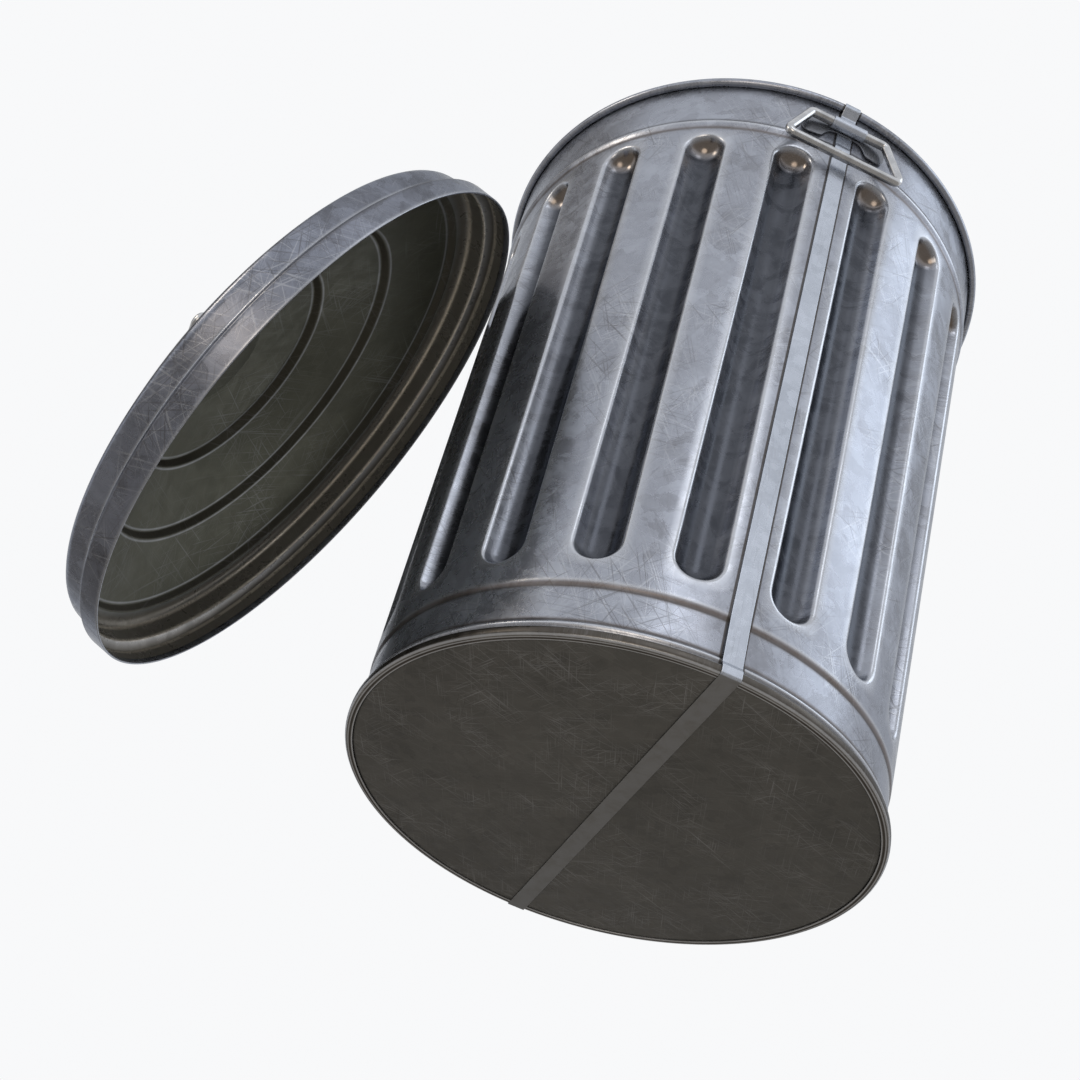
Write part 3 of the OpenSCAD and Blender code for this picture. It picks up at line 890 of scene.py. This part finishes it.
class TRASH_CAN_OT_wall(bpy.types.Operator):
    """Spin the can's wall with its beads and rolled rim, and press the flutes into it"""

    bl_idname = "trash_can.wall"
    bl_label = "Can wall"

    def execute(self, context):
        can = parts().can
        colours = parts().finishes
        levels = flute_levels(can)
        bm = spun(wall_rows(can, levels), can.flutes * FLUTE_STEPS)
        wear_and_painted_highlight, grime_and_painted_shade, flute, flute_end_painted_reflection, stain_and_painted_reflection = attributes(bm, "wear_and_painted_highlight", "grime_and_painted_shade", "flute", "flute_end_painted_reflection", "stain_and_painted_reflection")
        flute_lip = mix(levels[BOWL_STEPS], levels[-1], 0.6)
        foot_bead_z = (can.foot_bead_low + can.foot_bead_high) / 2
        step_z = mix(can.step_low, can.step_high, 0.4)
        # height, width and strength of the lines round the can: lighter ones partly rubbed metal and partly
        # painted highlight, darker ones painted shade in the creases, brownish ones partly film and partly
        # painted reflection
        worn_and_highlit = ((can.bead_crest_z, 0.003, 1), (foot_bead_z, 0.003, 1), (can.step_high, 0.0025, 1))
        shaded_creases = (
            (can.bead_low, 0.0025, 0.5), (can.bead_high, 0.0025, 0.7), (can.step_low, 0.0022, 1),
            (can.foot_bead_high, 0.0022, 0.9), (can.wall_z, 0.009, 1),
        )
        brown_lines = ((step_z, 0.0045, 1), (can.bead_low, 0.004, 0.8), (can.foot_bead_high, 0.003, 0.7))
        for vert in bm.verts:
            vert.co, depth, reach = flute_in(can, levels, vert.co)
            z = vert.co.z
            fluted = can.step_high < z < can.bead_low
            # lighter lines: rubbed metal on the flutes' lips, and painted highlights along the bead crests
            # and the top of the step
            vert[wear_and_painted_highlight] = max(near(reach, flute_lip, 0.004) if fluted else 0, strongest(z, worn_and_highlit))
            # painted shade in the creases beside the beads and the step, and at the wall's hidden foot
            vert[grime_and_painted_shade] = strongest(z, shaded_creases)
            # brownish lines: partly film, partly a painted reflection on the down-facing step and rim bead
            vert[stain_and_painted_reflection] = strongest(z, brown_lines)
            above = rise(z, can.flute_high, can.flute_high + 0.6 * can.flute_radius)
            # painted shade in the deep bottoms of the flutes, fading out towards their upper ends
            vert[flute] = rise(depth, 0.006, 0.014) * (1 - above)
            # painted brownish reflection in the flutes' down-facing upper ends
            vert[flute_end_painted_reflection] = rise(depth, 0.001, 0.007) * above
        face_out(bm, (can.rim_radius, 0, can.flute_low), (1, 0, 0))
        unroll(bm, can.foot_radius)
        for face in bm.faces:
            # the roll turns the sheet's inner face outwards, so the two finishes change places there
            centre = face.calc_center_median()
            over_band = centre.z > can.roll_z - can.roll_radius
            if over_band and centre.xy.length > can.rim_radius - 2 * can.roll_radius:
                face.material_index = 1
        outside = zinc(
            "Wall zinc", colours.wall_dark, colours.wall_light, colours.wall_mid, mapped=True, laid=(
                # first layer: painted shade in the flutes' bottoms; second: a painted brownish reflection in
                # their upper ends
                ("flute", colours.flute, 1.0, 0), ("flute_end_painted_reflection", colours.flute_end_painted_reflection, 0.9, -0.12),
                # partly rubbed metal and partly painted highlight; then a brownish layer, partly film and
                # partly painted reflection
                ("wear_and_painted_highlight", colours.scratch_and_painted_highlight, 0.6, 0), ("stain_and_painted_reflection", colours.stain_and_painted_reflection, 0.75, 0.1),
                # painted shade in the creases beside the beads and the step
                ("grime_and_painted_shade", colours.grime_and_painted_shade, 0.75, 0.2),
            # the ring here is a painted shadow: a dark line on the wall along both edges of the strap
            ), rings=((can.strap_width / 2 + 0.0010, 0.0014, colours.grime_and_painted_shade, 0.85),), across=True,
        )
        inside = zinc(
            "Inner zinc", colours.inside_dark, colours.inside_light,
            mapped=True, rough=(0.40, 0.56), scratched=0.6,
        )
        wall = finished(bm, "can_wall", "can_body", [outside, inside, outside])
        thicken(wall, can.sheet, -1, 1)
        wire = frame["nodes"]["rim_wire"]
        wire.data.materials.clear()
        wire.data.materials.append(drawn_rod("Rim wire"))
        return {"FINISHED"}


class TRASH_CAN_OT_base(bpy.types.Operator):
    """Spin the bottom pan and the foot hoop"""

    bl_idname = "trash_can.base"
    bl_label = "Pan and hoop"

    def execute(self, context):
        can = parts().can
        colours = parts().finishes
        side = can.pan_radius - can.sheet / 2
        disc_z = can.pan_z + can.sheet / 2
        disc = rounded([(0, disc_z, 0), (side, disc_z, can.pan_round), (side, can.pan_flange_z, 0)])
        bm = spun(disc, ROUND_COLUMNS)
        face_out(bm, (0, 0, 0), (0, 0, -1))
        pan = finished(bm, "bottom_pan_disc", "bottom_pan", [zinc(
            "Pan zinc", colours.pan_dark, colours.pan_light,
            rough=(0.40, 0.55), scratched=0.7, metallic=0.7, grain=1.6, relief=0.5,
        )])
        thicken(pan, can.sheet, 0)
        inner = can.foot_radius + can.strap_gap
        lip = can.hoop_lip_radius
        outer = can.hoop_radius
        outline = rounded([
            (inner, can.hoop_lip_top, 0),
            (lip, can.hoop_lip_top, HOOP_LIP_ROUND),
            (lip, can.hoop_z, HOOP_LIP_ROUND),
            (outer, can.hoop_z, can.hoop_round),
            (outer, can.hoop_top, can.hoop_round),
            (inner, can.hoop_top, HOOP_LIP_ROUND),
            (inner, can.hoop_lip_top, 0),
        ])
        bm = spun(outline[:-1], ROUND_COLUMNS, closed=True)
        bmesh.ops.recalc_face_normals(bm, faces=bm.faces)
        finished(bm, "foot_hoop_ring", "foot_hoop", [zinc(
            "Hoop zinc", colours.hoop_dark, colours.hoop_light,
            rough=(0.26, 0.38), scratched=0.8, grain=1.6, relief=0.3, rings=(
                # painted highlights and painted shade: light lines along the hoop's bends and dark lines
                # beside them
                (lip + 0.0004, 0.0008, colours.scratch_and_painted_highlight, 0.7), (lip + 0.0022, 0.0011, colours.grime_and_painted_shade, 0.8),
                (lip + 0.0036, 0.0007, colours.scratch_and_painted_highlight, 0.6), (outer - 0.0012, 0.0009, colours.scratch_and_painted_highlight, 0.7),
                (outer, 0.0005, colours.grime_and_painted_shade, 0.7),
            ),
        )])
        return {"FINISHED"}


def strap_corners(can):
    """(across, up, rounding) of the middle of the strap's half on +X, from below the can to the roll."""
    lift = can.strap_gap + can.strap / 2
    hoop_out = can.hoop_radius + lift
    bead_out = can.foot_radius + can.foot_bead + lift
    bead_z = (can.foot_bead_low + can.foot_bead_high) / 2
    crest = can.bead + lift
    corners = [
        (0, can.strap / 2, 0),
        (hoop_out, can.strap / 2, 0.0024),
        (hoop_out, can.hoop_top - HOOP_EDGE, 0.003),
        (bead_out, bead_z - FOOT_BEAD_FLAT, 0.002),
        (bead_out, bead_z + FOOT_BEAD_FLAT, 0.004),
        (wall_radius(can, can.step_high) + lift, can.step_high, 0.02),
    ]
    for z, out in (
        (can.bead_low - RIM_BEAD_FLAT, lift),
        (can.bead_crest_z - RIM_BEAD_FLAT, crest),
        (can.bead_crest_z + RIM_BEAD_FLAT, crest),
        (can.bead_high + RIM_BAND_EDGE, can.band + lift),
        (can.roll_z - UNDER_ROLL * can.roll_radius, can.band + lift),
    ):
        corners.append((wall_radius(can, z) + out, z, 0.003))
    return corners


class TRASH_CAN_OT_strap(bpy.types.Operator):
    """Bend the lifting strap under the can and up both sides to the rim"""

    bl_idname = "trash_can.strap"
    bl_label = "Strap"

    def execute(self, context):
        can = parts().can
        colours = parts().finishes
        over = can.roll_radius + can.strap_gap + can.strap / 2
        start, *hook = (on_circle(roll_middle(can), over, turn) for turn in HOOK_TURNS)
        points = rounded(strap_corners(can) + [(start.x, start.y, 0)]) + hook
        bm = strip([(p.x, -can.strap_width / 2, p.y) for p in points], (0, can.strap_width, 0))
        bmesh.ops.mirror(bm, geom=bm.verts[:] + bm.edges[:] + bm.faces[:], merge_dist=MERGE, axis="X")
        bmesh.ops.remove_doubles(bm, verts=bm.verts, dist=MERGE)
        face_out(bm, (0, 0, 0), (0, 0, -1))
        (under,) = attributes(bm, "under")
        # painted shade: the strap's stretch across the can's bottom, which faces down, is marked for a darker
        # copy of its metal
        for vert in bm.verts:
            below = vert.co.z < can.strap and abs(vert.co.x) < can.hoop_radius - 0.001
            vert[under] = 1 if below else 0
        strap = finished(bm, "lifting_strap", "strap", [zinc(
            "Strap zinc", colours.strap_dark, colours.strap_light,
            rough=(0.20, 0.28), scratched=0.25, grain=1.4, relief=0.08,
            # painted shade on the strap's down-facing stretch under the can
            laid=(("under", colours.under, 0.9, 0.1),),
        )])
        thicken(strap, can.strap, 0)
        soften(strap, 0.0004)
        return {"FINISHED"}


# The handles

def ear_outline(size):
    """Corners of an ear plate: two rounded wings joined by a narrow waist."""
    half = size.plate_half
    upper = rounded([
        (0, size.waist_half, 0),
        (size.waist_end, size.waist_half, 0.010),
        (size.wing_in, size.wing_half, 0.005),
        (half - WING_BULGE, size.wing_half, 0.0085),
        (half, 0, 0),
    ], PLATE_CORNER_STEP)
    right = upper + [Vector((p.x, -p.y)) for p in reversed(upper[:-1])]
    return right[:-1] + [Vector((-p.x, -p.y)) for p in right[:-1]]


def plate_mesh(size):
    """The ear plate's face in the XY plane, cut across so that it can be bent."""
    bm = bmesh.new()
    bm.faces.new([bm.verts.new((p.x, p.y, 0)) for p in ear_outline(size)])
    for i in range(1, PLATE_CUTS):
        x = mix(-size.plate_half, size.plate_half, i / PLATE_CUTS)
        bmesh.ops.bisect_plane(
            bm, geom=bm.verts[:] + bm.edges[:] + bm.faces[:], dist=MERGE,
            plane_co=(x, 0, 0), plane_no=(1, 0, 0),
        )
    return bm


def curl_mesh(size):
    """The open curl round the pivot bar, along X, with its slit below and behind."""
    turns = [mix(*CURL_TURNS, i / CURL_STEPS) for i in range(CURL_STEPS + 1)]
    bore = size.curl_bore
    points = [(-size.curl_width / 2, bore * math.sin(turn), bore * math.cos(turn)) for turn in turns]
    bm = strip(points, (size.curl_width, 0, 0))
    face_out(bm, (0, 0, size.rod), (0, 0, 1))
    solid_sheet(bm, size.plate)
    for face in bm.faces:
        face.material_index = 1
    return bm


def bail_mesh(size):
    """The bail's closed rod in the XY plane, its pivot bar on X and its grip towards -Y."""
    return tube([
        Vector((size.pivot_half, 0, 0)), Vector((-size.pivot_half, 0, 0)),
        Vector((-size.grip_half, -size.bail_height, 0)), Vector((size.grip_half, -size.bail_height, 0)),
    ], size.rod, size.bend)


def bend_round(bm, size, can):
    """Lays the flat plate on the can's +X side, on the strap."""
    for vert in bm.verts:
        across, up = vert.co.xy
        z = size.pivot_z + up
        radius = size.plate_radius + wall_radius(can, z) - wall_radius(can, size.pivot_z)
        vert.co = (math.sqrt(radius ** 2 - across ** 2), across, z)


def handle_metals():
    """Finishes of an ear plate's wings, its curl and the bail; all three handles share them."""
    colours = parts().finishes
    for name, dark, light in (
        ("Plate zinc", colours.plate_dark, colours.plate_light),
        ("Curl zinc", colours.strap_dark, colours.strap_light),
    ):
        if name not in bpy.data.materials:
            zinc(name, dark, light, rough=(0.20, 0.28), scratched=0.2, grain=1.6, relief=0.06)
    if "Bail rod" not in bpy.data.materials:
        drawn_rod("Bail rod")
    return [bpy.data.materials[name] for name in ("Plate zinc", "Curl zinc", "Bail rod")]


def handle(plate, way, hinge, placed, nodes):
    """A plate's sheet, whose face is to look the given way, becomes a handle with a curl and a bail.

    hinge puts the pivot bar on the plate, placed puts the whole in its place, and nodes are the ear
    plate's and the bail's.
    """
    size = parts().handles
    wings, curl, rod = handle_metals()
    face_out(plate, hinge.translation, way)
    solid_sheet(plate, size.plate)
    joined(plate, moved(curl_mesh(size), hinge))
    piece = finished(moved(plate, placed), f"{nodes[0]}_piece", nodes[0], [wings, curl])
    soften(piece, 0.00035)
    bail = moved(bail_mesh(size), placed @ hinge)
    finished(bail, f"{nodes[1]}_rod", nodes[1], [rod])


class TRASH_CAN_OT_handles(bpy.types.Operator):
    """Make the two side handles: ear plates with their curls, and bails of bent rod"""

    bl_idname = "trash_can.handles"
    bl_label = "Side handles"

    def execute(self, context):
        size = parts().handles
        # X of the handle's own plane goes to the can's Y, its Y up to Z, and its Z out to X
        hinge = Matrix.Translation((size.pivot_x, 0, size.pivot_z)) @ Matrix((
            (0, 0, 1, 0), (1, 0, 0, 0), (0, 1, 0, 0), (0, 0, 0, 1),
        ))
        for end, turn in (("front", 0), ("back", math.pi)):
            plate = plate_mesh(size)
            bend_round(plate, size, parts().can)
            nodes = (f"ear_plate_{end}", f"bail_{end}")
            handle(plate, (1, 0, 0), hinge, Matrix.Rotation(turn, 4, "Z"), nodes)
        return {"FINISHED"}


# The lid

def lid_place(lid):
    """Puts what is made on the closed lid's axis, with its lip at height 0, where the lid leans."""
    return (
        Matrix.Translation(lid.centre)
        @ Matrix.Rotation(-lid.turn, 4, "Z")
        @ Matrix.Rotation(math.pi / 2 - lid.lean, 4, "X")
    )


def lid_rows(lid, sheet):
    """(radius, height) of the middle of the lid's sheet, from the crown to the hem."""
    corners = [(0, lid.crown_z, 0), (lid.crown_radius, lid.crown_z, 0.004)]
    for radius, z in (
        (lid.ring_1_radius, lid.ring_1_z),
        (lid.ring_2_radius, lid.ring_2_z),
        (lid.ring_3_radius, lid.shoulder_z),
    ):
        corners.append((radius - lid.ring_width, z + lid.ring_rise, lid.ring_round))
        corners.append((radius, z, lid.ring_round))
    corners += [
        (lid.upper_skirt, lid.shoulder_z, lid.shoulder_round * 0.98),
        (lid.upper_skirt, lid.skirt_step_high, 0.0024),
        (lid.lower_skirt, lid.skirt_step_low, 0.0024),
        (lid.lower_skirt, sheet / 2, lid.hem_fold),
        (lid.hem_radius, sheet / 2, lid.hem_fold),
        (lid.hem_radius, lid.hem, 0),
    ]
    points = rounded(corners, LID_CORNER_STEP)
    # rows beside each bend, where the lighter and darker lines along the bends end
    rows = [points[0]]
    for before, after in zip(points, points[1:]):
        along = (after - before).length
        if along > LONG_RUN:
            rows += [before.lerp(after, reach / along) for reach in BESIDE]
            rows += [after.lerp(before, reach / along) for reach in reversed(BESIDE)]
        rows.append(after)
    return rows


class TRASH_CAN_OT_lid(bpy.types.Operator):
    """Spin the lid with its ring steps, skirts and hem, and lean it on the can"""

    bl_idname = "trash_can.lid"
    bl_label = "Lid"

    def execute(self, context):
        lid = parts().lid
        sheet = parts().can.sheet
        colours = parts().finishes
        bm = spun(lid_rows(lid, sheet), ROUND_COLUMNS)
        wear_and_painted_highlight, grime_and_painted_shade, skirt, painted_glint = attributes(bm, "wear_and_painted_highlight", "grime_and_painted_shade", "skirt", "painted_glint")
        rings = [r - lid.ring_width / 2 for r in (lid.ring_1_radius, lid.ring_2_radius, lid.ring_3_radius)]
        # places, width and strength of the lines along the ring steps and the skirts: painted highlights
        # beside the ring steps, painted shade in them, and painted glints along the skirts' bends
        ring_edge_highlights = [(ring + away, 0.0016, 0.9) for ring in rings for away in (-0.0036, 0.0036)]
        ring_step_shades = [(ring, 0.0034, 1) for ring in rings]
        bends = [
            (z, 0.0022, 1)
            for z in (lid.shoulder_z - 0.006, lid.skirt_step_high + 0.001, lid.skirt_step_low - 0.002)
        ]
        for vert in bm.verts:
            radius = math.hypot(vert.co.x, vert.co.y)
            z = vert.co.z
            # lighter: rubbed metal at the skirt step and the lip, and painted highlights beside the ring
            # steps
            vert[wear_and_painted_highlight] = max(
                near(z, lid.skirt_step_high, 0.003), near(z, 0, 0.003) if radius > lid.upper_skirt else 0,
                strongest(radius, ring_edge_highlights),
            )
            # painted shade in the ring steps and at the foot of the skirt step
            vert[grime_and_painted_shade] = max(
                strongest(radius, ring_step_shades) if z > lid.shoulder_z - 0.001 else 0,
                0.5 * near(z, lid.skirt_step_low, 0.003),
            )
            # inside the skirt the lining turns to the lighter brownish metal, its own tone and partly a
            # painted highlight
            vert[skirt] = rise(radius, lid.ring_3_radius, lid.ring_3_radius + 0.010)
            # painted glints along the bends inside the skirt
            vert[painted_glint] = strongest(z, bends) if vert[skirt] > 0.5 else 0
        unroll(bm, lid.upper_skirt, flat_within=lid.upper_skirt - 0.002)
        face_out(bm, (0, 0, lid.crown_z), (0, 0, 1))
        # on both faces: partly rubbed metal and partly painted highlight, then painted shade in the ring
        # steps
        outside = zinc("Lid zinc", colours.lid_dark, colours.lid_light, mapped=True, laid=(
            ("wear_and_painted_highlight", colours.scratch_and_painted_highlight, 0.45, 0), ("grime_and_painted_shade", colours.grime_and_painted_shade, 0.7, 0.2),
        ))
        lining = zinc(
            "Lid lining", colours.lining_dark, colours.lining_light,
            mapped=True, metallic=0.45, rough=(0.30, 0.42), specular=0.3, scratched=0.5, relief=0.4, laid=(
                # the skirt's lighter brownish tone, partly a painted highlight; then partly rubbed metal and
                # partly painted highlight
                ("skirt", colours.skirt_tone_and_painted_highlight, 0.7, -0.1), ("wear_and_painted_highlight", colours.scratch_and_painted_highlight, 0.6, 0),
                # painted glints along the skirt's bends, then painted shade in the ring steps
                ("painted_glint", colours.painted_glint, 0.85, -0.1), ("grime_and_painted_shade", colours.grime_and_painted_shade, 0.8, 0.2),
            ),
        )
        bm = moved(bm, lid_place(lid))
        shell = finished(bm, "lid_cover", "lid_shell", [outside, lining])
        thicken(shell, sheet, 0, 1)
        return {"FINISHED"}


class TRASH_CAN_OT_lid_handle(bpy.types.Operator):
    """Make the lid's ear plate and its bail"""

    bl_idname = "trash_can.lid_handle"
    bl_label = "Lid handle"

    def execute(self, context):
        lid = parts().lid
        plate = moved(plate_mesh(parts().handles), Matrix.Translation((0, 0, lid.plate_z)))
        hinge = Matrix.Translation((0, 0, lid.bail_z))
        leaning = lid_place(lid) @ Matrix.Rotation(lid.handle_turn, 4, "Z")
        handle(plate, (0, 0, 1), hinge, leaning, ("lid_ear_plate", "lid_bail"))
        return {"FINISHED"}


# The stage

def lamp(name, where, towards, size, power, colour):
    """A round area lamp."""
    light = bpy.data.lights.new(name, "AREA")
    light.shape = "DISK"
    light.size = size
    light.energy = power
    light.color = colour
    holder = bpy.data.objects.new(name, light)
    holder.location = where
    holder.rotation_euler = (Vector(towards) - Vector(where)).to_track_quat("-Z", "Y").to_euler()
    bpy.context.scene.collection.objects.link(holder)


def studio_world():
    """A pale room round the object, with a dim side, a warm dark floor level and a bright warm patch."""
    world = bpy.data.worlds.new("Studio")
    bpy.context.scene.world = world
    nodes = Nodes(world)
    way = nodes.add("ShaderNodeTexCoord").outputs["Generated"]
    colour = ROOM
    for towards, low, high, patch in ROOM_PATCHES:
        facing = nodes.vector("DOT_PRODUCT", {0: way, 1: Vector(towards).normalized()}, "Value")
        colour = nodes.blend(nodes.span(facing, low, high), colour, patch)
    light = nodes.add("ShaderNodeBackground", {"Color": colour}).outputs["Background"]
    nodes.add("ShaderNodeOutputWorld", {"Surface": light})


def pale_floor(stage):
    """A flat ring of a floor, which can be seen through from below, with a hole under the can."""
    bm = bmesh.new()
    bmesh.ops.create_circle(bm, cap_ends=False, radius=stage.floor_hole, segments=FLOOR_COLUMNS)
    edges = bm.edges[:]
    reach = stage.floor_hole
    for radius in (*FLOOR_RINGS, stage.floor_radius):
        verts, edges = extruded(bm, edges)
        bmesh.ops.scale(bm, verts=verts, vec=(radius / reach, radius / reach, 1))
        reach = radius
    face_out(bm, (0, 0, 0), (0, 0, 1))
    floor = made(bm, "Floor")
    pale = parts().finishes.floor
    s = Shader("Pale floor")
    colour = s.blend(s.span(s.noise(30, 4), 0.3, 0.7), tuple(c * FLOOR_SHADE for c in pale), pale)
    top = s.add("ShaderNodeBsdfDiffuse", {"Color": colour}).outputs[0]
    see_through = s.add("ShaderNodeBsdfTransparent").outputs[0]
    below = s.add("ShaderNodeNewGeometry").outputs["Backfacing"]
    shader = s.add("ShaderNodeMixShader", {0: below, 1: top, 2: see_through}).outputs[0]
    s.add("ShaderNodeOutputMaterial", {"Surface": shader})
    floor.data.materials.append(s.material)
    floor.visible_glossy = False


class TRASH_CAN_OT_stage(bpy.types.Operator):
    """Set the camera, the pale floor, the lamps and the world"""

    bl_idname = "trash_can.stage"
    bl_label = "Stage"

    def execute(self, context):
        stage = parts().stage
        camera = bpy.data.cameras.new("Camera")
        camera.lens = stage.lens
        camera.sensor_width = 36
        camera.clip_start = 0.01
        holder = bpy.data.objects.new("Camera", camera)
        right, up = Vector(stage.right), Vector(stage.up)
        turned = Matrix((right, up, right.cross(up))).transposed()
        holder.matrix_world = Matrix.Translation(stage.eye) @ turned.to_4x4()
        context.scene.collection.objects.link(holder)
        context.scene.camera = holder
        pale_floor(stage)
        for settings in LAMPS:
            lamp(*settings)
        studio_world()
        context.scene.view_settings.view_transform = "Standard"
        return {"FINISHED"}


PIECES = (
    TRASH_CAN_OT_wall, TRASH_CAN_OT_base, TRASH_CAN_OT_strap, TRASH_CAN_OT_handles,
    TRASH_CAN_OT_lid, TRASH_CAN_OT_lid_handle, TRASH_CAN_OT_stage,
)


class TRASH_CAN_PT_panel(bpy.types.Panel):
    """The pieces of the trash can, in the sidebar"""

    bl_label = "Trash can"
    bl_idname = "TRASH_CAN_PT_panel"
    bl_space_type = "VIEW_3D"
    bl_region_type = "UI"
    bl_category = "Trash can"

    def draw(self, context):
        for piece in PIECES:
            self.layout.operator(piece.bl_idname)


CLASSES = (CanSizes, HandleSizes, LidSizes, Finishes, StageSizes, TrashCan, *PIECES, TRASH_CAN_PT_panel)


def register():
    for cls in CLASSES:
        bpy.utils.register_class(cls)
    bpy.types.Scene.trash_can = bpy.props.PointerProperty(type=TrashCan)


def unregister():
    del bpy.types.Scene.trash_can
    for cls in reversed(CLASSES):
        bpy.utils.unregister_class(cls)


def main():
    register()
    for piece in PIECES:
        group, name = piece.bl_idname.split(".")
        getattr(getattr(bpy.ops, group), name)()


if __name__ == "__main__":
    main()
